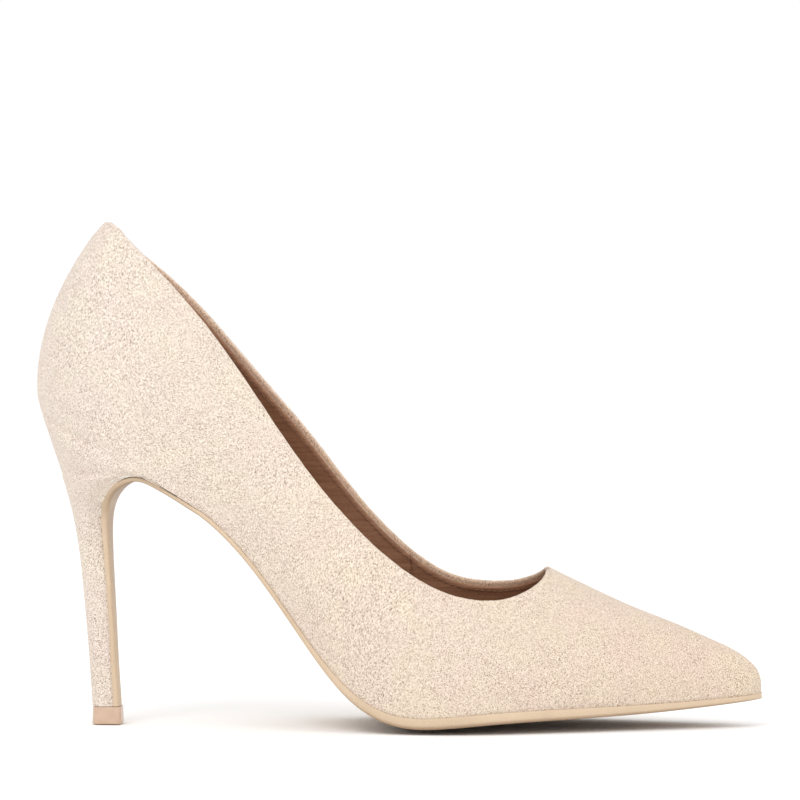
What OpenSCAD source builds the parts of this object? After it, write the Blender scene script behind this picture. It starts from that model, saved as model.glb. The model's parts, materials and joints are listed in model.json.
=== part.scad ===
// High heel pump, right shoe, size EU 37, with a pointed toe and a stiletto heel.
// +X points to the toe, +Z is up, and the outer (lateral) side of the foot is at -Y.
// The origin is on the ground, under the middle of the shoe's bounding box.

/* [Shoe] */
// Length of the shoe, from the back of the heel to the toe tip
shoe_length = 232.3; // [220:0.1:250]
// Width of the insole across the ball of the foot
ball_width = 69.6; // [64:0.1:76]
// Height of the back of the heel seat above the ground
heel_height = 100; // [90:0.5:106]

/* [Upper] */
// Thickness of the suede upper
upper_t = 1.1; // [0.9:0.1:1.3]
// Thickness of the stiffeners and the backing behind the suede
stiffener_t = 0.6; // [0.4:0.1:0.7]
// Thickness of the lining
lining_t = 0.7; // [0.5:0.1:0.9]
// Glue line between two layers
glue_gap = 0.1; // [0.05:0.05:0.15]
// Width of the upper's edge that is glued under the insole
lasting_margin = 11; // [9:0.5:12]
// Height of the folded edge along the topline
fold_h = 1.6; // [1.2:0.1:2]
// Width of the tape that keeps the topline from stretching
tape_w = 4; // [3:0.5:5]

/* [Bottom] */
// Thickness of the insole board and of the board under it
board_t = 1.3; // [1:0.1:1.6]
// Thickness of the foam under the insock
foam_t = 1.8; // [1.5:0.1:2.5]
// Thickness of the insock
insock_t = 0.8; // [0.6:0.1:1]
// Width of the steel shank
shank_w = 10; // [8:0.5:11]
// Diameter of a shank rivet
rivet_d = 3.6; // [3:0.1:4]

/* [Heel] */
// Thickness of the suede around the heel
cover_t = 0.8; // [0.6:0.1:1]
// Height of the top piece, the part that touches the ground
top_piece_h = 5.6; // [4.5:0.1:7]
// Diameter of the top piece's steel pin
pin_d = 2.9; // [2.5:0.1:3]
// Outer diameter of the steel tube in the heel
tube_d = 4.4; // [4:0.1:4.8]
// Length of the steel tube in the heel
tube_l = 54; // [45:1:56]
// Diameter of the heel screw
screw_d = 4; // [3.5:0.1:4.5]
// Diameter of a heel nail
nail_d = 1.8; // [1.5:0.1:2]

/* [Detail] */
// Steps along the shoe, from the back to the throat
rear_steps = 26; // [20:1:32]
// Steps along the shoe, from the throat to the toe
front_steps = 14; // [10:1:18]
// Steps from the sole to the topline
wall_steps = 10; // [8:1:12]

/* [Hidden] */

// The shape tables are written for a last 232.3 mm long and 69.6 mm wide with a 99 mm heel
length_k = shoe_length / 232.3;
width_k = ball_width / 69.6;
height_k = heel_height / 99;

// Every table has one value per station. Stations are 15 mm apart, from -120 to 120 mm.
first_station = -120 * length_k;
station_step = 15 * length_k;
back_x = -115.1 * length_k;
toe_x = 115.6 * length_k;

// Puts the middle of the bounding box over the origin
centring = [0.3 * length_k, 0.3 * width_k, 0];

// Control values of the cubic spline that runs through the values f
function controls(f, n = 14) = n == 0 ? f : let (c = controls(f, n - 1))
    [for (i = [0:len(f) - 1]) i == 0 || i == len(f) - 1 ? f[i] : (6 * f[i] - c[i - 1] - c[i + 1]) / 4];

// Value of that spline at u, where each control value is one unit from the next
function spline(c, u) = let (
    k = max(0, min(len(c) - 2, floor(u))),
    s = u - k,
    before = k == 0 ? 2 * c[0] - c[1] : c[k - 1],
    after = k == len(c) - 2 ? 2 * c[k + 1] - c[k] : c[k + 2])
    (pow(1 - s, 3) * before + (3 * pow(s, 3) - 6 * s * s + 4) * c[k]
    + (-3 * pow(s, 3) + 3 * s * s + 3 * s + 1) * c[k + 1] + pow(s, 3) * after) / 6;

function along(table, x) = spline(table, (x - first_station) / station_step);
function unit(p) = max(0, min(1, p));
function smooth(p) = let (q = unit(p)) q * q * (3 - 2 * q);
function dome(p) = let (q = 1 - unit(p)) sqrt(1 - q * q);
function normalized(v) = v / norm(v);

// Height of the feather line, the edge where the upper turns under the insole
feather_z = controls(height_k
    * [102.3, 93.5, 85.4, 76.5, 66.7, 51.2, 30.9, 13.6, 5.7, 5.3, 6.5, 7.2, 7.6, 8, 8.6, 9.5, 10.8]);
// Half of the insole's width, before its two ends are rounded off
half_widths = controls(width_k
    * [23, 23.2, 23.1, 22, 20, 19.2, 21.6, 27.2, 32.3, 34.8, 34, 30.2, 25.3, 19.9, 14.4, 8.6, 2.6]);
// Middle line of the insole, which swings to the inner side in front
middle_y = controls(width_k
    * [0, 0, -0.3, -0.7, -1.1, -1.4, -1.5, -1.3, -0.9, -0.4, 0.3, 0.9, 1.3, 1.5, 1.5, 1.5, 1.5]);
// Height and side position of the crest, the ridge that both sides of the last rise to
crest_z = controls(height_k
    * [210, 204, 194, 180, 163, 144, 124, 104, 86, 71, 60, 51.2, 43.9, 37.2, 31.4, 25, 20]);
crest_y = controls(width_k * [0, 0, 0, 0, 0, 0, 0.5, 1, 1.5, 1.9, 2.1, 2.1, 2, 1.9, 1.7, 1.5, 1.5]);
// How far the lateral and the medial side swell out above the feather line
swell = [
    controls([0.7, 0.7, 0.75, 0.95, 1.3, 1.45, 1.1, 0.6, 0.35, 0.28,
        0.25, 0.25, 0.25, 0.25, 0.25, 0.2, 0.2]),
    controls([0.7, 0.7, 0.8, 1.2, 2.1, 2.7, 1.9, 0.9, 0.42, 0.3,
        0.25, 0.25, 0.25, 0.25, 0.25, 0.2, 0.2])];
// Height of the topline on the lateral and on the medial side
topline_z = [
    controls(height_k
        * [182, 169.9, 158.5, 143.6, 126.7, 106, 84.3, 66.4, 52.9, 44.4, 41.6, 43.3, 44, 44, 44, 44, 44]),
    controls(height_k
        * [182, 169.9, 154.5, 142.1, 127.2, 110.1, 92.6, 72.8, 56.7, 46.7, 44.4, 44.8, 44, 44, 44, 44, 44])];
// Thickness of the outsole at its edge, and how far its middle bulges below the edge
sole_edge_t = controls([1.3, 1.3, 1.3, 1.3, 1.3, 1.35, 1.5, 2.4, 3.3, 3.6,
    3.6, 3.5, 3.3, 3, 2.5, 2, 1.6]);
sole_bulge = controls([0.2, 0.2, 0.2, 0.2, 0.3, 0.5, 0.8, 1.3, 1.7, 1.9, 1.6, 1.2, 0.9, 0.7, 0.4, 0.2, 0.1]);

heel_round = 32 * length_k;     // length over which the insole's back end is rounded
toe_round = 6 * length_k;       // length over which the insole's tip is rounded
roundness = 0.62;               // below 1 makes the cross-sections fuller than an ellipse
nose_run = 12.8 * length_k;     // how far the crest stays behind the toe tip
nose_start = 70 * length_k;     // where the crest starts to fall behind
fullness_start = 80 * length_k; // where the toe's front starts to get fuller
fullness = 0.45;
lean_end = -60 * length_k;      // where the walls stop following the back curve
back_bulge_x = -116.7 * length_k; // furthest point of the back curve
back_bulge_z = 107.4 * height_k;
throat_x = 47.4 * length_k;     // front end of the opening
throat_l = 16 * length_k;       // length and height of the throat's rounded corner
throat_h = 7.5 * height_k;
back_turn_x = -89.7 * length_k; // where the topline starts to turn down to the back
join_x = -89 * length_k;        // where the medial topline starts to join the lateral one
join_l = 6.3 * length_k;

// Position of loop parameter a: -1 is the toe tip, rising along the lateral side to 0 at the back,
// and then along the medial side to 1, at the toe tip again
function wrap(a) = a > 1 ? a - 2 : a < -1 ? a + 2 : a;
function loop_x(a) = back_x + (toe_x - back_x) * (1 - cos(180 * a)) / 2;
function side_of(a) = a < 0 ? 0 : 1;
function side_sign(a) = a < 0 ? -1 : 1;

function half_width(x) = along(half_widths, x)
    * dome((x - back_x) / heel_round) * dome((toe_x - x) / toe_round);
function back_curve(z) = let (d = (z - back_bulge_z) / height_k)
    back_bulge_x + (d < 0 ? 0.022 * d * d : 0.0097 * pow(d, 1.95)) + 0.05 * pow(max(0, d - 46), 1.5);
function lean(x) = pow(unit((lean_end - x) / (lean_end - back_x)), 1.3);
function nose(x) = nose_run * pow(unit((x - nose_start) / (toe_x - nose_start)), 2);

// Outer face of the upper: t is 0 at the feather line and 1 at the crest
function skin(b, t) = let (
    a = wrap(b),
    x = loop_x(a),
    s = sin(90 * t),
    c = t >= 1 ? 0 : cos(90 * t),
    low_z = along(feather_z, x),
    mid = along(crest_y, x),
    reach = along(middle_y, x) + side_sign(a) * half_width(x) - mid,
    forward = x - nose(x) * (1 - c),
    rise = pow(s, 1 - fullness * pow(unit((x - fullness_start) / (toe_x - fullness_start)), 2)),
    z = low_z + (along(crest_z, forward) - low_z) * rise,
    out = pow(c, roundness) + along(swell[side_of(a)], x) * s * pow(c, 8))
    [forward + lean(x) * (back_curve(z) - back_curve(low_z)), mid + reach * out, z];

// Unit vector into the shoe, square to the skin
function inward(a, t) = let (
    da = 0.004,
    dt = 0.02,
    t0 = max(0, min(t - dt / 2, 1 - dt)),
    // Both sides meet in one point where the crest reaches the toe tip
    ta = abs(a) > 0.999 ? min(t, 0.96) : t,
    across = skin(a + da, ta) - skin(a - da, ta),
    up = skin(a, t0 + dt) - skin(a, t0))
    normalized(cross(across, up));
function layer_point(a, t, depth) = skin(a, t) + depth * inward(a, t);

// The topline is where the skin meets a curve drawn on the side view
function square_above(limit, distance) = pow(max(0, distance / length_k - limit), 2);
// Both sides share the lateral curve at the back, so that they meet there
function topline_base(side, x) = let (shared = smooth((join_x - x) / join_l))
    (1 - shared) * along(topline_z[side], x) + shared * along(topline_z[0], x);
function topline_at(side, x) = x >= throat_x ? 1000
    : topline_base(side, x)
    + throat_h * (1 - sqrt(1 - pow(unit((x - throat_x + throat_l) / throat_l), 2)))
    - 0.118 * height_k * (square_above(0, back_turn_x - x) - square_above(3.4, back_turn_x - x));
function find_top(a, low = 0, high = 1, n = 22) = let (t = (low + high) / 2, p = skin(a, t))
    n == 0 ? low
    : p[2] < topline_at(side_of(a), p[0]) ? find_top(a, t, high, n - 1) : find_top(a, low, t, n - 1);
function find_throat(low, high, n = 20) = let (x = (low + high) / 2)
    n == 0 ? x
    : along(crest_z, x) > topline_at(0, x) ? find_throat(x, high, n - 1) : find_throat(low, x, n - 1);

// Columns of the walls: j is 0 at the back, rear_steps at the throat and last at the toe tip
last = rear_steps + front_steps;
throat_u = acos(1 - 2 * (find_throat(throat_x - throat_l, throat_x) - back_x) / (toe_x - back_x)) / 180;
columns = [for (j = [0:last]) j <= rear_steps
    ? throat_u * (1 - pow(1 - j / rear_steps, 1.6))
    : throat_u + (1 - throat_u) * pow((j - rear_steps) / front_steps, 1.5)];
function column(side, j) = side == 0 ? -columns[j] : columns[j];
tops = [for (side = [0, 1]) [for (j = [0:last]) j >= rear_steps ? 1 : find_top(column(side, j))]];
// Heights of the rows: the last one is an even band along the topline
edge_w = fold_h + tape_w + 0.4;
function edge_at(side, j) = j < 0 ? edge_at(1 - side, -j) : skin(column(side, j), tops[side][j]);
// Sine of the angle between a column and the topline
function edge_sine(side, j, drop) = j >= rear_steps ? 1
    : norm(cross(normalized(drop), normalized(edge_at(side, j + 1) - edge_at(side, j - 1))));
function edge_share(side, j) = let (
    drop = edge_at(side, j) - skin(column(side, j), tops[side][j] - 0.06))
    min(0.22, 0.06 * edge_w / norm(drop) / edge_sine(side, j, drop));
row_ts = [for (side = [0, 1]) [for (j = [0:last]) let (low = tops[side][j] - edge_share(side, j))
    [for (i = [0:wall_steps]) i == wall_steps ? tops[side][j] : low * i / (wall_steps - 1)]]];
// The row that lies below the topline by a distance
function below_edge(side, j, distance) = let (t = row_ts[side][j])
    t[wall_steps] - (t[wall_steps] - t[wall_steps - 1]) * distance / edge_w;
function column_at(x, j = 0) = loop_x(columns[j]) >= x || j == last ? j : column_at(x, j + 1);

// Shoe bottom: points at height h above the feather line's surface, square to it
function bottom_slope(x) = (along(feather_z, x + 0.5) - along(feather_z, x - 0.5));
function bottom_angle(x) = atan(-bottom_slope(x));
function bottom_point(x, y, h) = let (angle = bottom_angle(x))
    [x + h * sin(angle), y, along(feather_z, x) + h * cos(angle)];
module on_bottom(x, y, h) {
    translate(bottom_point(x, y, h)) rotate([0, bottom_angle(x), 0]) children();
}

// Insole outline, drawn in by inset; a pointed tip moves further in than the sides.
// Between the two ends every inset has the same stations, so that the layers stay parallel.
tip_inset = 2.4;
function outline(a, inset) = let (
    start = back_x + inset,
    end = toe_x - tip_inset * inset,
    full_x = loop_x(a),
    x = full_x + inset * pow(unit((-55 * length_k - full_x) / (-55 * length_k - back_x)), 2)
        - tip_inset * inset * pow(unit((full_x - 50 * length_k) / (toe_x - 50 * length_k)), 2),
    half = max(along(half_widths, x) - 1.06 * inset, 0.3)
        * dome((x - start) / (heel_round - inset)) * dome((end - x) / toe_round))
    [x, along(middle_y, x) + side_sign(a) * half];
function outline_point(a, inset, h) = let (p = outline(a, inset)) bottom_point(p[0], p[1], h);

// The rear of the insole stands higher, because the shank board is under it
function board_rise(x) = (board_t + glue_gap) * smooth((-8 * length_k - x) / (22 * length_k));
function plate_point(a, inset, h) = let (p = outline(a, inset))
    bottom_point(p[0], p[1], h + board_rise(p[0]));

function quad(a, b, c, d, flip) = flip ? [[a, d, c], [a, c, b]] : [[a, b, c], [a, c, d]];
function flat1(lists) = [for (l = lists) each l];

// A sheet of the walls with a thickness. faces_of[0] and [1] hold its outer and inner points as
// [side][column - first][row]; columns from crest_from on share the crest with the other side.
module wall(faces_of, first, end, sides, crest_from = rear_steps) {
    count = end - first + 1;
    rows = len(faces_of[0][sides[0]][0]);
    top = rows - 1;
    function shared(j, i) = j == 0 || j == last || (i == top && j >= crest_from);
    function id(f, side, j, i) = let (owner = len(sides) == 2 && shared(j, i) ? 0 : side)
        ((f * 2 + owner) * count + j - first) * rows + i;
    empty = [for (j = [1:count]) [for (i = [1:rows]) [0, 0, 0]]];
    points = flat1(flat1(flat1([for (f = [0, 1]) [for (side = [0, 1])
        len([for (s = sides) if (s == side) s]) > 0 ? faces_of[f][side] : empty]])));
    faces = flat1([for (side = sides) let (m = side == 1) flat1([
        for (j = [first:end - 1]) flat1([
            for (i = [0:top - 1]) flat1([
                quad(id(0, side, j, i), id(0, side, j, i + 1), id(0, side, j + 1, i + 1),
                    id(0, side, j + 1, i), m),
                quad(id(1, side, j, i), id(1, side, j, i + 1), id(1, side, j + 1, i + 1),
                    id(1, side, j + 1, i), !m)]),
            quad(id(0, side, j, 0), id(0, side, j + 1, 0), id(1, side, j + 1, 0), id(1, side, j, 0), m),
            if (j < crest_from) quad(id(0, side, j + 1, top), id(0, side, j, top), id(1, side, j, top),
                id(1, side, j + 1, top), m)]),
        if (first > 0) flat1([for (i = [0:top - 1]) quad(id(0, side, first, i + 1),
            id(0, side, first, i), id(1, side, first, i), id(1, side, first, i + 1), m)]),
        if (end < last) flat1([for (i = [0:top - 1]) quad(id(0, side, end, i),
            id(0, side, end, i + 1), id(1, side, end, i + 1), id(1, side, end, i), m)])])]);
    polyhedron(points, faces);
}

// A layer of the walls behind the upper, from the insole board up to a share of the wall's height,
// or to a distance below the topline. It closes over the instep from column crest_from on.
module layer(depth, thickness, first, end, sides = [0, 1], share = 1, drop = 0, crest_from = rear_steps) {
    function row(side, j, i) = share * (i == wall_steps && j < crest_from ? below_edge(side, j, drop)
        : row_ts[side][j][i]);
    function face(d) = [for (side = [0, 1]) [for (j = [first:end]) let (a = column(side, j))
        [for (i = [0:wall_steps]) i == 0 ? plate_point(a, d, foam_h)
            : layer_point(a, row(side, j, i), d)]]];
    wall([face(depth), face(depth + thickness)], first, end, sides, crest_from);
}

// A solid through a row of rings with the same number of points, each counterclockwise when the row
// comes towards the viewer
module loft(rings) {
    n = len(rings[0]);
    m = len(rings);
    sides = flat1([for (k = [0:m - 2]) flat1([for (i = [0:n - 1]) let (j = (i + 1) % n)
        quad(k * n + i, (k + 1) * n + i, (k + 1) * n + j, k * n + j, false)])]);
    polyhedron(flat1(rings), concat(sides, [[for (i = [0:n - 1]) i]],
        [[for (i = [n - 1:-1:0]) (m - 1) * n + i]]));
}

// A solid between two grids of points, [row][place], closed round its four edges
module shell(outer, inner) {
    rows = len(outer);
    n = len(outer[0]);
    function id(f, k, i) = (f * rows + k) * n + i;
    function strip(k, i, next_k, next_i) =
        quad(id(0, k, i), id(0, next_k, next_i), id(1, next_k, next_i), id(1, k, i), false);
    polyhedron(flat1(concat(outer, inner)), flat1(concat(
        [for (k = [0:rows - 2]) each [for (i = [0:n - 2]) each [
            quad(id(0, k, i), id(0, k + 1, i), id(0, k + 1, i + 1), id(0, k, i + 1), false),
            quad(id(1, k, i), id(1, k + 1, i), id(1, k + 1, i + 1), id(1, k, i + 1), true)]]],
        [for (i = [0:n - 2]) each [strip(0, i, 0, i + 1), strip(rows - 1, i + 1, rows - 1, i)]],
        [for (k = [0:rows - 2]) each [strip(k + 1, 0, k, 0), strip(k, n - 1, k + 1, n - 1)]])));
}

// The stitch row follows the topline from one side of the throat round the back to the other
thread_end = rear_steps - 2;
stitch_line = concat([for (j = [thread_end:-1:1]) [1, j]], [for (j = [0:thread_end]) [0, j]]);
stitch_points = [for (p = stitch_line) skin(column(p[0], p[1]), tops[p[0]][p[1]])];
stitch_frames = [for (k = [0:len(stitch_line) - 1]) let (
    p = stitch_line[k],
    into = inward(column(p[0], p[1]), tops[p[0]][p[1]]),
    ahead = stitch_points[min(k + 1, len(stitch_line) - 1)] - stitch_points[max(k - 1, 0)],
    down = normalized(cross(into, ahead)))
    [stitch_points[k], down, normalized(cross(ahead, down))]];

// A strip of the walls' topmost row, between two distances below the topline. It ends before the
// throat, where the topline turns across the shoe.
band_end = rear_steps - 4;
module edge_band(from, to, depth, thickness) {
    function place(side, j, below, d) = let (
        a = column(side, j),
        high = layer_point(a, row_ts[side][j][wall_steps], d),
        low = layer_point(a, row_ts[side][j][wall_steps - 1], d))
        high + below / edge_sine(side, j, low - high) * normalized(low - high);
    function face(d) = [for (side = [0, 1]) [for (j = [0:band_end])
        [place(side, j, to, d), place(side, j, from, d)]]];
    wall([face(depth), face(depth + thickness)], 0, band_end, [0, 1]);
}

// Depths of the layers behind the outer face of the upper
stiffener_d = upper_t + glue_gap;
lining_d = stiffener_d + stiffener_t + glue_gap;
wall_t = lining_d + lining_t;
// Heights of the layers above the lasted upper
board_h = upper_t + glue_gap;
foam_h = board_h + board_t + glue_gap;
insock_h = foam_h + foam_t + glue_gap;

// A plate of the bottom with the insole's outline, between two heights
module plate(h, thickness, inset, from_x, to_x) {
    first = column_at(from_x);
    end = column_at(to_x);
    strip = [for (j = [first:end]) [
        outline(column(0, j), inset), outline(column(1, j), inset)]];
    points = flat1([for (j = [first:end]) let (p = strip[j - first][0], q = strip[j - first][1])
        [for (y = [p[1], q[1]]) each [for (level = [h, h + thickness])
            bottom_point(p[0], y, level + board_rise(p[0]))]]]);
    // Each column has the points 0 and 1, low and high on the lateral side, and 2 and 3, medial
    pinch = function (j) j == 0 || j == last;
    id = function (j, i) (j - first) * 4 + (pinch(j) && i > 1 ? i - 2 : i);
    faces = flat1([for (j = [first:end - 1]) flat1([
        quad(id(j, 0), id(j, 1), id(j + 1, 1), id(j + 1, 0), false),
        quad(id(j, 1), id(j, 3), id(j + 1, 3), id(j + 1, 1), false),
        quad(id(j, 3), id(j, 2), id(j + 1, 2), id(j + 1, 3), false),
        quad(id(j, 2), id(j, 0), id(j + 1, 0), id(j + 1, 2), false)])]);
    real = [for (f = faces) if (f[0] != f[1] && f[1] != f[2] && f[2] != f[0]) f];
    ends = concat(
        pinch(first) ? [] : quad(id(first, 0), id(first, 2), id(first, 3), id(first, 1), false),
        pinch(end) ? [] : quad(id(end, 0), id(end, 1), id(end, 3), id(end, 2), false));
    polyhedron(points, concat(real, ends));
}

// ---- Upper and its layers ----

module upper() {
    function rows(side, j) = concat([for (i = [0:wall_steps - 1]) row_ts[side][j][i]],
        [below_edge(side, j, fold_h), below_edge(side, j, 0.5 * fold_h), row_ts[side][j][wall_steps]]);
    function outer_face(side, j) = let (a = column(side, j)) concat(
        [outline_point(a, lasting_margin, 0)],
        [for (t = rows(side, j)) skin(a, t)]);
    // The edge is folded in over the layers behind it, up to the throat
    function inner_face(side, j) = let (
        a = column(side, j),
        t = rows(side, j),
        n = len(t) - 1,
        folded = j <= rear_steps) concat(
        [outline_point(a, lasting_margin, upper_t), outline_point(a, upper_t, upper_t)],
        [for (i = [1:n - 2]) layer_point(a, t[i], upper_t)],
        [layer_point(a, t[folded ? n - 2 : n - 1], folded ? wall_t : upper_t)],
        [layer_point(a, t[n], folded ? wall_t : upper_t)]);
    color("antiquewhite") wall([
        [for (side = [0, 1]) [for (j = [0:last]) outer_face(side, j)]],
        [for (side = [0, 1]) [for (j = [0:last]) inner_face(side, j)]]], 0, last, [0, 1]);
}

puff_x = 76 * length_k;     // back edge of the toe puff
counter_x = -58 * length_k; // front edge of the heel counter
grip_x = -66 * length_k;    // front edge of the heel grip
vamp_x = 2 * length_k;      // back edge of the vamp lining

// It stops just below the tape
module upper_backing() {
    color("white") layer(stiffener_d, stiffener_t, column_at(counter_x), column_at(puff_x),
        drop = 0.97 * edge_w, crest_from = rear_steps + 2);
}

module toe_puff() {
    color("tan") layer(stiffener_d, stiffener_t, column_at(puff_x), last);
}

module heel_counter() {
    color("peru") layer(stiffener_d, stiffener_t, 0, column_at(counter_x), share = 0.8);
}

module topline_tape() {
    color("ivory") edge_band(fold_h + 0.2, fold_h + tape_w, stiffener_d, stiffener_t);
}

module topline_thread() {
    thread_r = 0.25;
    section = [for (i = [0:4])
        [fold_h + 0.5 + thread_r * cos(72 * i), wall_t + 0.3 + thread_r * (1 + sin(72 * i))]];
    color("saddlebrown") loft([for (f = stitch_frames)
        [for (s = section) f[0] + s[0] * f[1] + s[1] * f[2]]]);
}

module lining_part(first, end, sides = [0, 1]) {
    layer(lining_d, lining_t, first, end, sides, drop = fold_h + 0.15, crest_from = rear_steps + 1);
}

module vamp_lining() {
    color("sienna") lining_part(column_at(vamp_x), last);
}

module quarter_lining_lateral() {
    color("sienna") lining_part(column_at(grip_x), column_at(vamp_x), [0]);
}

module quarter_lining_medial() {
    color("sienna") lining_part(column_at(grip_x), column_at(vamp_x), [1]);
}

module heel_grip() {
    color("rosybrown") lining_part(0, column_at(grip_x));
}

// ---- Bottom ----

plate_end = 118 * length_k;

module insock() {
    color("sienna") plate(insock_h, insock_t, wall_t + 0.5, back_x, plate_end);
}

module insock_foam() {
    color("khaki") plate(foam_h, foam_t, wall_t + 0.5, back_x, plate_end);
}

// Holes through the boards for the screw and the nails, square to the seat
screw_x = -91 * length_k;
nail_places = [[-94.5, 7.5], [-94.5, -7.5], [-100, 3.5], [-100, -3.5]];
head_t = 0.8;
seat_top = foam_h + board_t;
module seat_holes(clearance) {
    on_bottom(screw_x, 0, 0) {
        cylinder(d = screw_d + clearance, h = 12, center = true, $fn = 12);
        translate([0, 0, seat_top - head_t - 0.1])
            cylinder(d = 1.7 * screw_d + clearance, h = 6, $fn = 16);
    }
    for (p = nail_places) on_bottom(p[0] * length_k, p[1] * width_k, 0) {
        cylinder(d = nail_d + clearance, h = 12, center = true, $fn = 8);
        translate([0, 0, seat_top - head_t - 0.1])
            cylinder(d = 1.9 * nail_d + clearance, h = 6, $fn = 12);
    }
}

rivet_places = [-80 * length_k, -36 * length_k];
rivet_top = board_h + board_t - 0.1;

module insole_board() {
    color("burlywood") difference() {
        plate(board_h, board_t, upper_t + 0.35, back_x, plate_end);
        seat_holes(0.4);
    }
}

module shank_board() {
    color("peru") difference() {
        shank_board_blank();
        seat_holes(0.4);
        for (x = rivet_places) on_bottom(x, along(middle_y, x), 0) {
            cylinder(d = rivet_d + 0.4, h = 12, center = true, $fn = 12);
            translate([0, 0, rivet_top - 0.7]) cylinder(d = 1.8 * rivet_d + 0.4, h = 6, $fn = 16);
        }
    }
}

// The board under the rear of the insole, skived down to nothing towards the ball
module shank_board_blank() {
    inset = upper_t + 0.35;
    end = column_at(-24 * length_k);
    loft([for (j = [1:end]) let (
        p = outline(column(0, j), inset),
        q = outline(column(1, j), inset),
        top = board_h + max(board_rise(p[0]) - glue_gap, 0.05))
        [for (v = [[p[1], board_h], [q[1], board_h], [q[1], top], [p[1], top]])
            bottom_point(p[0], v[0], v[1])]]);
}

// Steel strip with a raised rib, lying in the gap between the two lasting margins
shank_t = 1;
shank_from = -87 * length_k;
shank_to = -24 * length_k;
module steel_shank() {
    half = shank_w / 2;
    section = [[-half, 0.05], [half, 0.05], [half, shank_t], [-half, shank_t]];
    rings = [for (j = [column_at(shank_from):column_at(shank_to)]) let (
        x = loop_x(columns[j]),
        mid = along(middle_y, x))
        [for (s = section) bottom_point(x, mid + s[0], s[1])]];
    color("lightsteelblue") difference() {
        loft(rings);
        for (x = rivet_places)
            on_bottom(x, along(middle_y, x), 0)
                cylinder(d = rivet_d + 0.4, h = 6, center = true, $fn = 12);
    }
}

module shank_rivets() {
    color("silver") for (x = rivet_places) on_bottom(x, along(middle_y, x), 0) {
        translate([0, 0, 0.05]) cylinder(d = rivet_d, h = rivet_top - 0.05, $fn = 32);
        translate([0, 0, rivet_top - 0.6]) cylinder(d = 1.8 * rivet_d, h = 0.6, $fn = 32);
    }
}

module bottom_filler() {
    color("dimgray") filler_blank();
}

// Cork sheet that fills the hollow between the lasting margins under the ball
module filler_blank() {
    inset = lasting_margin + 0.4;
    first = column_at(-10 * length_k);
    end = last - 1;
    loft([for (j = [first:end]) let (p = outline(column(0, j), inset), q = outline(column(1, j), inset))
        [for (v = [[p[1], 0.05], [q[1], 0.05], [q[1], upper_t - 0.05], [p[1], upper_t - 0.05]])
            bottom_point(p[0], v[0], v[1])]]);
}

// Flap of the outsole, which runs up under the arch and down the front of the heel.
// Each row is [x, z, half width, thickness] of its outer face, from the waist to the top piece.
flap = [[-66, 69.1, 20.4, 1.3], [-71, 72.3, 21, 1.3], [-76, 75.2, 21.4, 1.3], [-80, 77.1, 21, 1.3],
    [-83.5, 77.6, 19.6, 1.4], [-87, 76.4, 17.6, 1.8], [-90.2, 73.8, 14.6, 2.2], [-92.2, 70, 11.4, 2.3],
    [-93, 65, 8.8, 2.1], [-92.9, 57, 6.9, 1.8], [-92.3, 46, 5.8, 1.6], [-91.6, 34, 5.2, 1.6],
    [-91, 22, 4.9, 1.6], [-90.3, 11, 4.7, 1.7], [-89.95, 5.65, 4.6, 1.8]];
flap_tables = [for (i = [0:3]) controls([for (row = flap) row[i]
    * (i == 0 ? length_k : i == 1 ? height_k : i == 2 ? width_k : 1)])];
flap_steps = 2 * (len(flap) - 1);
function flap_value(i, k) = spline(flap_tables[i], k * (len(flap) - 1) / flap_steps);
function flap_place(k) = [flap_value(0, k), 0, flap_value(1, k)];
function flap_inward(k) = let (d = flap_place(k + 0.3) - flap_place(k - 0.3)) normalized([d[2], 0, -d[0]]);

// Section of the outsole across the shoe; it is lowest and fullest in the middle
function sole_section(lateral, medial, t, bulge) = [
    [medial, 0], [medial, -0.55 * t], [medial - 0.3 * t, -0.92 * t], [0.6 * medial, -t - 0.6 * bulge],
    [0.5 * (lateral + medial), -t - bulge],
    [0.6 * lateral, -t - 0.6 * bulge], [lateral + 0.3 * t, -0.92 * t], [lateral, -0.55 * t], [lateral, 0]];

module outsole() {
    end = column_at(-62 * length_k);
    edge = 0.3;
    front = [for (j = [last:-1:end]) let (
        x = loop_x(columns[j]),
        half = max(half_width(x), 0.8) + edge,
        mid = along(middle_y, x),
        section = sole_section(mid - half, mid + half, along(sole_edge_t, x), along(sole_bulge, x)))
        [for (s = section) let (p = bottom_point(x, s[0], s[1] - 0.05)) [p[0], p[1], max(p[2], 0)]]];
    rear = [for (k = [0:flap_steps]) let (
        t = flap_value(3, k),
        half = flap_value(2, k),
        into = flap_inward(k),
        waist = unit(1 - k / 6),
        mid = along(middle_y, -66 * length_k) * waist,
        section = sole_section(mid - half, mid + half, t, 0.3))
        [for (s = section) flap_place(k) + [0, s[0], 0] + into * (s[1] + t)]];
    color("wheat") loft(concat(front, rear));
}

// ---- Heel ----

// Rows of the heel, from the top piece up: [z, back x, front x, half width, share of the depth at
// which it is widest]. The front is the inner face of the outsole's flap.
heel_rows = [[5.65, -98.9, -91.8, 4.7, 0.5], [14, -99.5, -92.3, 4.8, 0.5], [24, -100.2, -92.9, 5, 0.5],
    [36, -101.2, -93.5, 5.3, 0.5], [47, -102.2, -94.1, 5.9, 0.5], [57, -103.4, -94.8, 6.9, 0.55],
    [65, -104.8, -95.2, 8.9, 0.6], [70, -105.9, -94.8, 11.6, 0.66], [74, -107, -93.8, 15.4, 0.74],
    [76.8, -107.8, -92, 18.4, 0.82], [78.6, -108.4, -89, 20.6, 0.9]];
// Rows of the heel seat, given by the place along the feather line
seat_rows = [-80.6, -84, -88, -93, -98, -103, -107.5, -111, -113.2];
function seat_back(x) = let (z = along(feather_z, x) / height_k)
    (-108.4 - 0.325 * (z - 79.2)) * length_k;

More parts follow.
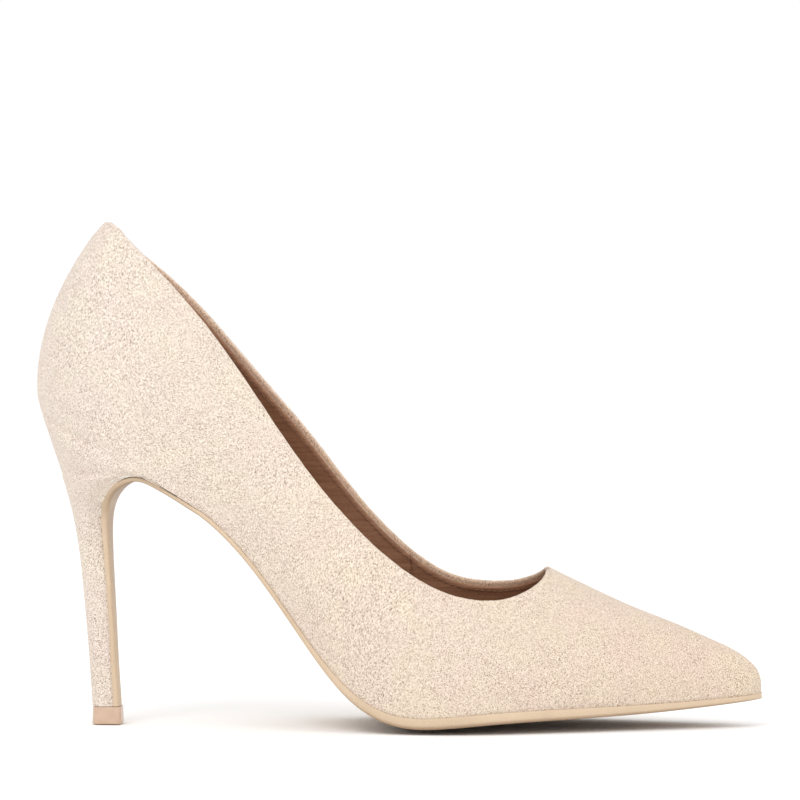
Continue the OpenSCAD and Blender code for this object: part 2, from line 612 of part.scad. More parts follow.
// One ring of the heel: an ellipse at the back, and a straight side to the front's corner
ring_steps = 9;
function heel_ring(z, back, front, half, share, inset) = let (
    depth = front - back,
    trim = min(inset, 0.6 * depth),
    widest = back + share * depth,
    wide = half - trim)
    [for (side = [-1, 1]) each [for (n = [0:ring_steps + 1]) let (i = side < 0 ? n : ring_steps + 1 - n)
        if (side < 0 || i > 0)
        i > ring_steps ? [front, side * wide * (0.84 + 0.15 * share), z]
        : let (turn = 90 * i / ring_steps)
            [widest - (widest - back - trim) * cos(turn), side * wide * sin(turn), z]]];
function heel_rings(inset, seat_count) = concat(
    [for (r = heel_rows)
        heel_ring(r[0] * height_k, r[1] * length_k, r[2] * length_k, r[3] * width_k, r[4], inset)],
    [for (n = [0:seat_count - 1]) let (x = seat_rows[n] * length_k)
        heel_ring(along(feather_z, x) - 0.06, seat_back(x), x - 0.04, half_width(x), 0.98, inset)]);

// The tube and the pin lie along the heel's own middle line
axis_foot = [-95.2 * length_k, 0, top_piece_h];
axis_tilt = -3.4;
module on_heel_axis(h) {
    translate(axis_foot) rotate([0, axis_tilt, 0]) translate([0, 0, h]) children();
}
tube_foot = 1;

module heel_core() {
    color("gainsboro") difference() {
        loft(heel_rings(cover_t + 0.1, len(seat_rows) - 1));
        on_heel_axis(-2) cylinder(d = tube_d, h = tube_l + tube_foot + 2, $fn = 48);
        on_bottom(screw_x, 0, -18.5) cylinder(d = screw_d, h = 30, $fn = 32);
        for (p = nail_places)
            on_bottom(p[0] * length_k, p[1] * width_k, -11) cylinder(d = nail_d, h = 30, $fn = 24);
    }
}

module heel_cover() {
    // Order of a ring's points from one front corner round the back to the other
    order = concat([for (i = [ring_steps + 2:2 * ring_steps + 2]) i], [for (i = [0:ring_steps + 1]) i]);
    function rows(inset) = [for (ring = heel_rings(inset, len(seat_rows))) [for (i = order) ring[i]]];
    color("bisque") shell(rows(0), rows(cover_t));
}

module heel_tube() {
    color("silver") on_heel_axis(tube_foot) difference() {
        cylinder(d = tube_d, h = tube_l, $fn = 48);
        translate([0, 0, -1]) cylinder(d = pin_d, h = tube_l + 2, $fn = 48);
    }
}

module heel_screw() {
    color("silver") on_bottom(screw_x, 0, 0) {
        translate([0, 0, -18]) cylinder(d = screw_d, h = 18 + seat_top, $fn = 32);
        translate([0, 0, seat_top - head_t]) cylinder(d = 1.7 * screw_d, h = head_t, $fn = 32);
    }
}

module heel_nails() {
    color("silver") for (p = nail_places) on_bottom(p[0] * length_k, p[1] * width_k, 0) {
        translate([0, 0, -10.5]) cylinder(d = nail_d, h = 10.5 + seat_top, $fn = 24);
        translate([0, 0, seat_top - head_t]) cylinder(d = 1.9 * nail_d, h = head_t, $fn = 24);
    }
}

// Plan of the top piece: round at the back, with a nearly straight front
tip_back = -98.7 * length_k;
tip_front = -89.2 * length_k;
tip_half = 4.7 * width_k;
function tip_plan() = let (n = 12, mid = (tip_back + tip_front) / 2, r = (tip_front - tip_back) / 2)
    [for (k = [0:4 * n - 1]) let (w = 90 * k / n, c = cos(w), s = sin(w), power = c > 0 ? 0.35 : 0.75)
        [mid + r * sign(c) * pow(abs(c), power), tip_half * sign(s) * pow(abs(s), c > 0 ? 0.5 : 0.8)]];

pin_h = 18;
module top_piece() {
    color("rosybrown") difference() {
        linear_extrude(top_piece_h - 0.05) polygon(tip_plan());
        on_heel_axis(-3.2) cylinder(d = pin_d, h = 8, $fn = 48);
    }
}

module top_piece_pin() {
    color("silver") on_heel_axis(-3.1) cylinder(d = pin_d, h = pin_h, $fn = 48);
}

module placed() {
    translate(centring) children();
}

placed() upper();
placed() upper_backing();
placed() toe_puff();
placed() heel_counter();
placed() topline_tape();
placed() topline_thread();
placed() vamp_lining();
placed() quarter_lining_lateral();
placed() quarter_lining_medial();
placed() heel_grip();
placed() insock();
placed() insock_foam();
placed() insole_board();
placed() shank_board();
placed() steel_shank();
placed() shank_rivets();
placed() bottom_filler();
placed() outsole();
placed() heel_core();
placed() heel_cover();
placed() heel_tube();
placed() heel_screw();
placed() heel_nails();
placed() top_piece();
placed() top_piece_pin();
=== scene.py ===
import math

import bmesh
import bpy
import numpy as np
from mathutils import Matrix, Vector
from mathutils.noise import noise_vector, seed_set
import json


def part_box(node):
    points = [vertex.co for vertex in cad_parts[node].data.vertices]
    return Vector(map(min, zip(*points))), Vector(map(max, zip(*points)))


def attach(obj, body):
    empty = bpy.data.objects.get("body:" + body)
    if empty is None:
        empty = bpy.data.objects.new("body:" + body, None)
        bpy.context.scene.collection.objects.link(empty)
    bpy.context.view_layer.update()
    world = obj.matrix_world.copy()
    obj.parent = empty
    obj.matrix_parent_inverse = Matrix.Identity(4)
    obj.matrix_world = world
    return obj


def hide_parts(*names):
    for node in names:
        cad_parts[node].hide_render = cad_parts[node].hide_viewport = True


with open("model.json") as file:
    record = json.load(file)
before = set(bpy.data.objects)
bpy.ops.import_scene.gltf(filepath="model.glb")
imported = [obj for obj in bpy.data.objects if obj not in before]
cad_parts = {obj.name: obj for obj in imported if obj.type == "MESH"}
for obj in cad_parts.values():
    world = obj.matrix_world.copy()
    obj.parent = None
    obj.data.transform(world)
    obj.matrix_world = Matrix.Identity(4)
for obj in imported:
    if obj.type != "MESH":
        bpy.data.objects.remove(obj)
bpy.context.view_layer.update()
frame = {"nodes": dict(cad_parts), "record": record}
seed_set(1)      # the noise otherwise starts from the time of day

# ---- Sizes, in millimetres, taken from the frame ----
MM = 1000.0
SOLE_END = 115.77                              # the toe end of the sole, for a shoe of the tables' own size
TABLE_LENGTH, TABLE_WIDTH, TABLE_TOP = 232.28, 72.36, 159.69     # size that the tables below are written for
TABLE_MIDDLE = -.31                            # middle of the upper's width, in the tables' Y


def mm_box(node):
    low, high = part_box(node)
    return np.array(low) * MM, np.array(high) * MM


upper_low, upper_high = mm_box("upper")
sole_low, sole_high = mm_box("outsole")
tip_low, tip_high = mm_box("top_piece")
LK = (sole_high[0] - upper_low[0]) / TABLE_LENGTH
WK = (upper_high[1] - upper_low[1]) / TABLE_WIDTH
HK = upper_high[2] / TABLE_TOP
SHIFT = np.array([sole_high[0] - SOLE_END * LK, (upper_high[1] + upper_low[1]) / 2 - TABLE_MIDDLE * WK, 0.0])

LINING_D, WALL_T = 1.75, 2.6      # depth of the linings' outer and inner face under the skin
ROLL = 0.92                       # radius of the rolled edge at the topline


# ---- The last's surface: tables along X, 15 mm apart from -120 mm ----
TABLE_START, TABLE_STEP = -120 * LK, 15 * LK
RELAXING_ROUNDS = 14


def controls(f):
    """Control values of the cubic spline that passes through the table's values."""
    c = np.array(f, float)
    f = c.copy()
    for _ in range(RELAXING_ROUNDS):
        c[1:-1] = (6 * f[1:-1] - c[:-2] - c[2:]) / 4
    return c


def spline(c, u):
    """Uniform cubic B-spline at parameter u, counted in table rows."""
    c, u = np.asarray(c, float), np.asarray(u, float)
    k = np.clip(np.floor(u).astype(int), 0, len(c) - 2)
    s = u - k
    wide = np.concatenate([[2 * c[0] - c[1]], c, [2 * c[-1] - c[-2]]])
    a, b, d, e = (wide[k + i] for i in range(4))
    return ((1 - s) ** 3 * a + (3 * s ** 3 - 6 * s * s + 4) * b
            + (-3 * s ** 3 + 3 * s * s + 3 * s + 1) * d + s ** 3 * e) / 6


def along(table, x):
    return spline(table, (np.asarray(x) - TABLE_START) / TABLE_STEP)


feather_z = controls(HK * np.array([102.3, 93.5, 85.4, 76.5, 66.7, 51.2, 30.9, 13.6, 5.7, 5.3, 6.5, 7.2, 7.6,
                                    8, 8.6, 9.5, 10.8]))
half_widths = controls(WK * np.array([23, 23.2, 23.1, 22, 20, 19.2, 21.6, 27.2, 32.3, 34.8, 34, 30.2, 25.3,
                                      19.9, 14.4, 8.6, 2.6]))
middle_y = controls(WK * np.array([0, 0, -.3, -.7, -1.1, -1.4, -1.5, -1.3, -.9, -.4, .3, .9, 1.3, 1.5, 1.5,
                                   1.5, 1.5]))
crest_z = controls(HK * np.array([210, 204, 194, 180, 163, 144, 124, 104, 86, 71, 60, 51.2, 43.9, 37.2, 31.4,
                                  25, 20]))
crest_y = controls(WK * np.array([0, 0, 0, 0, 0, 0, .5, 1, 1.5, 1.9, 2.1, 2.1, 2, 1.9, 1.7, 1.5, 1.5]))
swell = [controls([.7, .7, .75, .95, 1.3, 1.45, 1.1, .6, .35, .28, .25, .25, .25, .25, .25, .2, .2]),
         controls([.7, .7, .8, 1.2, 2.1, 2.7, 1.9, .9, .42, .3, .25, .25, .25, .25, .25, .2, .2])]
topline_z = [controls(HK * np.array([182, 169.9, 158.5, 143.6, 126.7, 106, 84.3, 66.4, 52.9, 44.4, 41.6, 43.3,
                                     44, 44, 44, 44, 44])),
             controls(HK * np.array([182, 169.9, 154.5, 142.1, 127.2, 110.1, 92.6, 72.8, 56.7, 46.7, 44.4,
                                     44.8, 44, 44, 44, 44, 44]))]
sole_edge = controls([1.3, 1.3, 1.3, 1.3, 1.3, 1.35, 1.5, 2.4, 3.3, 3.6, 3.6, 3.5, 3.3, 3, 2.5, 2, 1.6])
sole_bulge = controls([.2, .2, .2, .2, .3, .5, .8, 1.3, 1.7, 1.9, 1.6, 1.2, .9, .7, .4, .2, .1])

BACK_X, TOE_X = -115.1 * LK, 115.6 * LK
HEEL_ROUND, TOE_ROUND = 32 * LK, 6 * LK
THROAT_X, THROAT_L, THROAT_H = 47.4 * LK, 16 * LK, 7.5 * HK


def unit(p):
    return np.clip(p, 0, 1)


def smooth(p):
    q = unit(p)
    return q * q * (3 - 2 * q)


def dome(p):
    """A quarter of a circle: 0 at 0, 1 from 1 on."""
    return np.sqrt(1 - (1 - unit(p)) ** 2)


def loop_x(a):
    return BACK_X + (TOE_X - BACK_X) * (1 - np.cos(np.pi * np.asarray(a, float))) / 2


def half_width(x):
    return along(half_widths, x) * dome((x - BACK_X) / HEEL_ROUND) * dome((TOE_X - x) / TOE_ROUND)


FULLEST_Z, FULLEST_X = 107.4, -116.7 * LK      # where the back of the upper stands out furthest
TOP_CURL = 46                                  # height above that from where the back curls in


def back_curve(z):
    d = z / HK - FULLEST_Z
    bend = np.where(d < 0, .022 * d * d, .0097 * np.abs(d) ** 1.95)
    return FULLEST_X + bend + .05 * np.maximum(0, d - TOP_CURL) ** 1.5


def skin(a, t):
    """Outer face of the upper. a runs from -1 at the toe, along the outer side, to 0 at the back and 1."""
    a, t = np.broadcast_arrays(np.asarray(a, float), np.asarray(t, float))
    a = np.where(a > 1, a - 2, np.where(a < -1, a + 2, a))
    x, sign = loop_x(a), np.where(a < 0, -1.0, 1.0)
    s, c = np.sin(np.pi / 2 * t), np.clip(np.cos(np.pi / 2 * t), 0, 1)
    low, mid = along(feather_z, x), along(crest_y, x)
    reach = along(middle_y, x) + sign * half_width(x) - mid
    nose = 12.8 * LK * unit((x - 70 * LK) / (TOE_X - 70 * LK)) ** 2
    ahead = x - nose * (1 - c)
    rise = s ** (1 - .45 * unit((x - 80 * LK) / (TOE_X - 80 * LK)) ** 2)
    z = low + (along(crest_z, ahead) - low) * rise
    out = c ** .62 + np.where(a < 0, along(swell[0], x), along(swell[1], x)) * s * c ** 8
    lean = unit((-60 * LK - x) / (-60 * LK - BACK_X)) ** 1.3
    return np.stack([ahead + lean * (back_curve(z) - back_curve(low)), mid + reach * out, z], -1)


def normalized(v):
    return v / np.maximum(np.linalg.norm(v, axis=-1, keepdims=True), 1e-12)


def inward(a, t):
    """Unit vectors into the shoe, square to the skin."""
    a, t = np.broadcast_arrays(np.asarray(a, float), np.asarray(t, float))
    da, dt = .003, .012
    t0 = np.clip(t - dt / 2, 0, 1 - dt)
    ta = np.where(np.abs(a) > .996, np.minimum(t, .96), t)
    across = skin(a + da, ta) - skin(a - da, ta)
    return normalized(np.cross(across, skin(a, t0 + dt) - skin(a, t0)))


TURN_X, TURN_L = -89.7, 3.4                    # where the topline turns over to cross the back, and how soon
JOIN_X, JOIN_L = -89 * LK, 6.3 * LK            # behind here the sides come to share the outer side's curve


def top_cut(side, x):
    """Height of the topline in the side view."""
    rise = THROAT_H * (1 - np.sqrt(1 - unit((x - THROAT_X + THROAT_L) / THROAT_L) ** 2))
    back = TURN_X - x / LK
    turn = .118 * HK * (np.maximum(0, back) ** 2 - np.maximum(0, back - TURN_L) ** 2)
    joined = smooth((JOIN_X - x) / JOIN_L)
    base = (1 - joined) * along(topline_z[side], x) + joined * along(topline_z[0], x)
    return np.where(x >= THROAT_X, 1e3, base + rise - turn)


def lowered_cut(side, x, drop):
    """The topline's curve in the side view, moved down by an even distance."""
    steps = np.linspace(-1, 1, 25)
    return np.min([top_cut(side, x + drop * s) - drop * math.sqrt(1 - s * s) for s in steps], axis=0)


def find_top(side, a, drop):
    """Share of the wall's height at which it meets the lowered topline."""
    low, high = np.zeros_like(a), np.ones_like(a)
    for _ in range(30):
        t = (low + high) / 2
        p = skin(a, t)
        below = p[..., 2] < lowered_cut(side, p[..., 0], drop)
        low, high = np.where(below, t, low), np.where(below, high, t)
    return low


def a_of(x):
    """Loop position at a place along the shoe."""
    return math.acos(1 - 2 * (x - BACK_X) / (TOE_X - BACK_X)) / math.pi


def throat_a(drop):
    """Loop position where the lowered topline reaches the crest."""
    low, high = THROAT_X - THROAT_L, THROAT_X + 3 * drop
    for _ in range(40):
        x = (low + high) / 2
        if along(crest_z, x) > lowered_cut(0, np.array([x]), drop)[0]:
            low = x
        else:
            high = x
    return a_of(low)


# ---- Mesh helpers ----
def make(name, points, faces, finish):
    """A smooth-shaded mesh object from points in millimetres."""
    mesh = bpy.data.meshes.new(name)
    mesh.from_pydata([tuple(p) for p in (np.asarray(points) + SHIFT) / MM], [], faces)
    mesh.validate()
    mesh.update()
    mesh.shade_smooth()
    obj = bpy.data.objects.new(name, mesh)
    bpy.context.scene.collection.objects.link(obj)
    obj.data.materials.append(finish)
    return obj


def grid_faces(rows, columns, start=0, close=False, flip=False):
    """Faces of a grid stored row by row; close joins the last column to the first."""
    faces = []
    for r in range(rows - 1):
        for k in range(columns if close else columns - 1):
            n = (k + 1) % columns
            f = (start + r * columns + k, start + r * columns + n,
                 start + (r + 1) * columns + n, start + (r + 1) * columns + k)
            faces.append(f[::-1] if flip else f)
    return faces


def outward(obj):
    """Weld doubles and make the faces look outward."""
    bm = bmesh.new()
    bm.from_mesh(obj.data)
    bmesh.ops.remove_doubles(bm, verts=bm.verts, dist=2e-6)
    bmesh.ops.recalc_face_normals(bm, faces=bm.faces)
    bm.to_mesh(obj.data)
    bm.free()
    obj.data.update()
    return obj


# ---- Materials ----
def material(name, build):
    m = bpy.data.materials.new(name)
    m.use_nodes = True
    nodes, links = m.node_tree.nodes, m.node_tree.links
    build(nodes, links, nodes["Principled BSDF"])
    return m


def srgb(r, g, b):
    """Linear colour from screen values of 0 to 255."""
    values = (c / 255 for c in (r, g, b))
    return tuple(c / 12.92 if c <= .04045 else ((c + .055) / 1.055) ** 2.4 for c in values) + (1,)


def noise(nodes, links, scale, detail=4, rough=.6, vector=None, distortion=0):
    n = nodes.new("ShaderNodeTexNoise")
    n.inputs["Scale"].default_value = scale
    n.inputs["Detail"].default_value = detail
    n.inputs["Roughness"].default_value = rough
    n.inputs["Distortion"].default_value = distortion
    links.new(vector, n.inputs["Vector"])
    return n.outputs["Fac"]


def ramp(nodes, links, factor, stops):
    r = nodes.new("ShaderNodeValToRGB")
    while len(r.color_ramp.elements) < len(stops):
        r.color_ramp.elements.new(.5)
    for e, (place, colour) in zip(r.color_ramp.elements, stops):
        e.position, e.color = place, colour
    links.new(factor, r.inputs["Fac"])
    return r.outputs["Color"]


def mix(nodes, links, factor, a, b, mode="MIX"):
    m = nodes.new("ShaderNodeMix")
    m.data_type, m.blend_type = "RGBA", mode
    for value, socket in ((factor, m.inputs[0]), (a, m.inputs[6]), (b, m.inputs[7])):
        if hasattr(value, "is_output"):
            links.new(value, socket)
        else:
            socket.default_value = value
    return m.outputs[2]


def bump(nodes, links, height, strength, distance):
    b = nodes.new("ShaderNodeBump")
    b.inputs["Strength"].default_value = strength
    b.inputs["Distance"].default_value = distance
    links.new(height, b.inputs["Height"])
    return b.outputs["Normal"]


def object_space(nodes):
    return nodes.new("ShaderNodeTexCoord").outputs["Object"]


def stretched(nodes, links, place, turn, scale):
    """Object space turned about Y and stretched, for grain that runs one way in the side view."""
    m = nodes.new("ShaderNodeMapping")
    m.vector_type = "TEXTURE"
    m.inputs["Rotation"].default_value = (0, turn, 0)
    m.inputs["Scale"].default_value = scale
    links.new(place, m.inputs["Vector"])
    return m.outputs["Vector"]


def suede_of(shades, fleck_low, strength):
    """Soft nap: fine grain, short slanting fibres, faint clouds, and shades that change from heel to toe."""
    def build(nodes, links, shader):
        place = object_space(nodes)
        nap = noise(nodes, links, 5400, 1, .6, place)
        slant = noise(nodes, links, 3900, 1, .6, stretched(nodes, links, place, math.radians(-64), (3, 1, 1)))
        cross = noise(nodes, links, 4000, 1, .6, stretched(nodes, links, place, math.radians(35), (2, 1, 1)))
        patches = ramp(nodes, links, noise(nodes, links, 28, 2, .5, place),
                       [(.45, (0, 0, 0, 1)), (.65, (1, 1, 1, 1))])
        grain = mix(nodes, links, .5, nap, mix(nodes, links, patches, slant, cross))
        axes = nodes.new("ShaderNodeSeparateXYZ")
        links.new(place, axes.inputs["Vector"])
        span = nodes.new("ShaderNodeMapRange")
        links.new(axes.outputs["X"], span.inputs["Value"])
        span.inputs["From Min"].default_value, span.inputs["From Max"].default_value = -.11, .11
        base = ramp(nodes, links, span.outputs["Result"], list(zip((.05, .45, 1), shades)))
        cloud = ramp(nodes, links, noise(nodes, links, 75, 3, .55, place, .3),
                     [(.35, srgb(252, 248, 248)), (.5, srgb(252, 250, 249)), (.65, srgb(254, 253, 248))])
        base = mix(nodes, links, 1, base, cloud, "MULTIPLY")
        fleck = ramp(nodes, links, grain, [(.38, fleck_low), (.5, srgb(236, 233, 228)), (.58, (1, 1, 1, 1))])
        links.new(mix(nodes, links, strength, base, fleck, "MULTIPLY"), shader.inputs["Base Color"])
        shader.inputs["Roughness"].default_value = .95
        shader.inputs["Specular IOR Level"].default_value = .15
        shader.inputs["Sheen Weight"].default_value = .2
        shader.inputs["Sheen Roughness"].default_value = .5
        shader.inputs["Sheen Tint"].default_value = srgb(255, 246, 236)
        links.new(bump(nodes, links, grain, .5, .0003), shader.inputs["Normal"])
    return build


def lining(nodes, links, shader):
    """Brown lining leather: fine grain and long streaks."""
    place = object_space(nodes)
    grain = noise(nodes, links, 1400, 4, .6, place)
    streak = nodes.new("ShaderNodeMapping")
    links.new(place, streak.inputs["Vector"])
    streak.inputs["Scale"].default_value = (60, 60, 900)
    lines = noise(nodes, links, 1, 4, .6, streak.outputs["Vector"])
    base = ramp(nodes, links, lines,
                [(.3, srgb(130, 91, 67)), (.55, srgb(150, 109, 82)), (.8, srgb(167, 126, 98))])
    links.new(mix(nodes, links, .3, base, grain, "OVERLAY"), shader.inputs["Base Color"])
    shader.inputs["Roughness"].default_value = .62
    shader.inputs["Specular IOR Level"].default_value = .35
    links.new(bump(nodes, links, grain, .25, .0002), shader.inputs["Normal"])


def sole_leather(nodes, links, shader):
    """Pale leather, with painted shade: darker where it faces down."""
    place = object_space(nodes)
    grain = noise(nodes, links, 1800, 4, .6, place)
    cloud = noise(nodes, links, 40, 4, .6, place, .5)
    base = ramp(nodes, links, cloud, [(.3, srgb(194, 171, 144)), (.7, srgb(207, 184, 157))])
    axes = nodes.new("ShaderNodeSeparateXYZ")
    links.new(nodes.new("ShaderNodeNewGeometry").outputs["Normal"], axes.inputs["Vector"])
    down_facing_shade_mask = nodes.new("ShaderNodeMapRange")
    links.new(axes.outputs["Z"], down_facing_shade_mask.inputs["Value"])
    down_facing_shade_mask.inputs["From Min"].default_value, down_facing_shade_mask.inputs["From Max"].default_value = -.95, -.3
    # painted shade: the colour darkens as the surface turns to face the floor
    under = ramp(nodes, links, down_facing_shade_mask.outputs["Result"], [(0, srgb(186, 172, 156)), (1, (1, 1, 1, 1))])
    base = mix(nodes, links, 1, base, under, "MULTIPLY")
    links.new(mix(nodes, links, .15, base, grain, "OVERLAY"), shader.inputs["Base Color"])
    shader.inputs["Roughness"].default_value = .5
    shader.inputs["Specular IOR Level"].default_value = .4
    links.new(bump(nodes, links, grain, .15, .0002), shader.inputs["Normal"])


def tip_plastic(nodes, links, shader):
    """Glossy tan plastic with faint clouds."""
    place = object_space(nodes)
    cloud = noise(nodes, links, 300, 3, .5, place)
    base = ramp(nodes, links, cloud, [(.3, srgb(194, 165, 142)), (.7, srgb(203, 175, 152))])
    links.new(base, shader.inputs["Base Color"])
    shader.inputs["Roughness"].default_value = .28
    shader.inputs["Specular IOR Level"].default_value = .5


def thread_fibre(nodes, links, shader):
    place = object_space(nodes)
    twist = noise(nodes, links, 3000, 2, .5, place)
    shade = ramp(nodes, links, twist, [(.3, srgb(124, 88, 66)), (.7, srgb(146, 108, 84))])
    links.new(shade, shader.inputs["Base Color"])
    shader.inputs["Roughness"].default_value = .7


def plain(colour, rough=.8, metal=0.0):
    """Nearly even finish for the pieces inside."""
    def build(nodes, links, shader):
        place = object_space(nodes)
        cloud = noise(nodes, links, 500, 3, .6, place)
        links.new(mix(nodes, links, .12, srgb(*colour), cloud, "OVERLAY"), shader.inputs["Base Color"])
        shader.inputs["Roughness"].default_value = rough
        shader.inputs["Metallic"].default_value = metal
    return build


SUEDE = material("suede", suede_of((srgb(240, 230, 221), srgb(239, 226, 212), srgb(231, 215, 199)),
                                   srgb(126, 100, 78), .9))
# Darker, browner copy of the suede for the folded inner band: painted shade where the band faces down into
# the shoe, tinted brown like light bounced off the lining
SHADED_FOLD = material("suede_fold_painted_shade", suede_of((srgb(236, 208, 184), srgb(234, 206, 182), srgb(230, 200, 176)),
                                       srgb(112, 80, 60), .85))
LINING = material("lining_leather", lining)
SOLE = material("sole_leather", sole_leather)
TIP = material("top_piece_plastic", tip_plastic)
THREAD = material("thread", thread_fibre)
BACKING = material("backing_fabric_finish", plain((228, 222, 210)))


# ---- Loop of positions along the topline or the feather line ----
def rear_positions(end, count):
    """Positions from the back (0) to the throat, closer together near the throat."""
    k = np.linspace(0, 1, count)
    return end * (1 - (1 - k) ** 1.5)


def front_positions(start, count):
    """Positions from the throat to the toe (1)."""
    k = np.linspace(0, 1, count)
    return start + (1 - start) * k ** 1.25


def wall_grids(drop, rear, front, rows):
    """Points of the skin on the outer and the inner side, as [column][row], up to the lowered topline."""
    end = throat_a(drop)
    a = np.concatenate([rear_positions(end, rear), front_positions(end, front)[1:]])
    sides = []
    for side, sign in ((0, -1), (1, 1)):
        tops = np.ones_like(a)
        tops[:rear - 1] = find_top(side, sign * a[:rear - 1], drop)
        share = np.linspace(0, 1, rows) ** .9
        t = tops[:, None] * share[None, :]
        pos = np.repeat((sign * a)[:, None], rows, 1)
        sides.append(skin(pos, t))
    return sides


def edge_loop(drop, count):
    """Closed loop along the lowered topline: points, directions into the shoe and down the wall."""
    end = throat_a(drop)
    a = rear_positions(end, count)
    t0, t1 = find_top(0, -a, drop), find_top(1, a, drop)
    t0[-1] = t1[-1] = 1
    pos = np.concatenate([-a, a[-2:0:-1]])
    t = np.concatenate([t0, t1[-2:0:-1]])
    p, into = skin(pos, t), inward(pos, t)
    tangent = normalized(np.roll(p, -1, 0) - np.roll(p, 1, 0))
    down = normalized(np.cross(into, tangent))
    return p, down, normalized(np.cross(tangent, down))


REAR, FRONT, ROWS = 170, 84, 44      # columns behind and ahead of the throat, and rows of the walls
SEAT_END = -68 * LK   # the heel's suede reaches forward to here


def fuzzed(points, amount, size):
    """Points moved a little by smooth noise, so that a cut edge isn't a perfect line."""
    return [p + amount * np.array(noise_vector(Vector(p / size))) for p in points]


def build_upper():
    sides = wall_grids(ROLL, REAR, FRONT, ROWS)
    points, faces = [], []
    for p, flip in zip(sides, (False, True)):
        start = len(points)
        points += list(p.reshape(-1, 3))
        faces += grid_faces(p.shape[0], p.shape[1], start, flip=flip)
    # Rolled edge, then the folded edge's inner face
    edge, down, into = edge_loop(ROLL, REAR)
    turn = np.linspace(0, np.pi, 9)
    section = [(-ROLL * math.sin(w), ROLL * (1 - math.cos(w))) for w in turn]
    section += [(.5, 1.9), (1.1, 1.98), (1.8, 2.0), (3.0, 2.0)]
    start = len(points)
    n = len(edge)
    for row, (drop_mm, depth) in enumerate(section):
        ring = edge + drop_mm * down + depth * into
        points += fuzzed(ring, .12, .55) if 0 < row < 8 else list(ring)
    folded_from = len(faces) + 5 * n      # the fold's painted shade starts past the roll's highest row
    faces += grid_faces(len(section), n, start, close=True)
    folded_to = len(faces)
    # Turned under at the feather line, ahead of the heel seat
    for p in sides:
        low = p[:, 0][p[:, 0, 0] > SEAT_END - 2]
        start = len(points)
        none = np.zeros(len(low))
        middle = np.stack([none, along(middle_y, low[:, 0]) - low[:, 1], none], -1)
        inner = normalized(middle + 1e-9)
        for side_in, rise in ((0, 0), (.35, -.18), (1.6, -.2)):
            points += list(low + side_in * inner + np.array([0, 0, rise]))
        faces += grid_faces(3, len(low), start)
    obj = make("upper_suede", points, faces, SUEDE)
    obj.data.materials.append(SHADED_FOLD)
    for face in obj.data.polygons[folded_from:folded_to]:
        face.material_index = 1
    return outward(obj)


upper = build_upper()
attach(upper, "root")
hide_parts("upper")


# ---- Linings and the layers behind the suede ----
LINING_DROP = 1.7      # distance of the linings' cut edge below the skin's topline


def build_lining(name, a_from, a_to, sides_used, node, finish,
                 drop=LINING_DROP, depths=(LINING_D, WALL_T), low=.02):
    """A layer of the walls between two loop positions and two depths, with a cut edge along the top."""
    end = throat_a(drop)
    a = np.linspace(a_from, min(a_to, 1), 90)
    if a_from < end < a_to:
        a = np.sort(np.concatenate([a, [end]]))
    points, faces = [], []
    rows = 36
    for side in sides_used:
        sign = (-1, 1)[side]
        tops = np.where(a < end - 1e-9, find_top(side, sign * a, drop), 1.0)
        t = low + (tops[:, None] - low) * np.linspace(0, 1, rows)[None, :]
        pos = np.repeat((sign * a)[:, None], rows, 1)
        base, into = skin(pos, t), inward(pos, t)
        inner, outer = base + depths[1] * into, base + depths[0] * into
        shell = np.concatenate([inner, outer[:, ::-1]], 1)
        start = len(points)
        points += list(shell.reshape(-1, 3))
        faces += grid_faces(len(a), 2 * rows, start, close=True, flip=side == 1)
        for row in (0, len(a) - 1):
            ring = [start + row * 2 * rows + k for k in range(2 * rows)]
            faces += [(ring[k], ring[k + 1], ring[2 * rows - 2 - k], ring[2 * rows - 1 - k])
                      for k in range(rows - 1)]
    obj = outward(make(name, points, faces, finish))
    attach(obj, "root")
    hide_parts(node)


vamp_a, grip_a = a_of(2 * LK), a_of(-66 * LK)      # the seams between the linings
build_lining("lining_vamp", vamp_a, 1, (0, 1), "vamp_lining", LINING)
build_lining("lining_quarter_lateral", grip_a, vamp_a, (0,), "quarter_lining_lateral",
             LINING)
build_lining("lining_quarter_medial", grip_a, vamp_a, (1,), "quarter_lining_medial",
             LINING)
build_lining("lining_heel_grip", 0, grip_a, (0, 1), "heel_grip", LINING)
build_lining("backing_layer", 0, 1, (0, 1), "upper_backing", BACKING,
             drop=3.2, depths=(1.15, 1.35), low=.03)


def build_tape():
    """The flat tape inside the folded edge."""
    edge, down, into = edge_loop(ROLL, REAR)
    section = ((.2, 1.4), (.2, 1.6), (4.5, 1.6), (4.5, 1.4))
    points = np.concatenate([edge + d * down + depth * into for d, depth in section + section[:1]])
    obj = outward(make("topline_tape_band", points, grid_faces(5, len(edge), close=True), BACKING))
    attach(obj, "root")
    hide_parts("topline_tape")


build_tape()


# ---- Bottom: insock and outsole ----
def bottom_frame(x):
    """Sine and cosine of the bottom's tilt."""
    slope = along(feather_z, x + .5) - along(feather_z, x - .5)
    angle = np.arctan(-slope)
    return np.sin(angle), np.cos(angle)


def bottom_point(x, y, h):
    """Point at height h square above the bottom line."""
    s, c = bottom_frame(x)
    return np.stack([x + h * s, y + 0 * x, along(feather_z, x) + h * c], -1)


BOARD_RISE = 1.4      # how far the shank board lifts the rear of the insock


def board_rise(x):
    return BOARD_RISE * smooth((-8 * LK - x) / (22 * LK))


INSOCK_LEVEL, INSOCK_ROUND = 5.3, .7     # height above the feather line, and the drop at its rounded edge


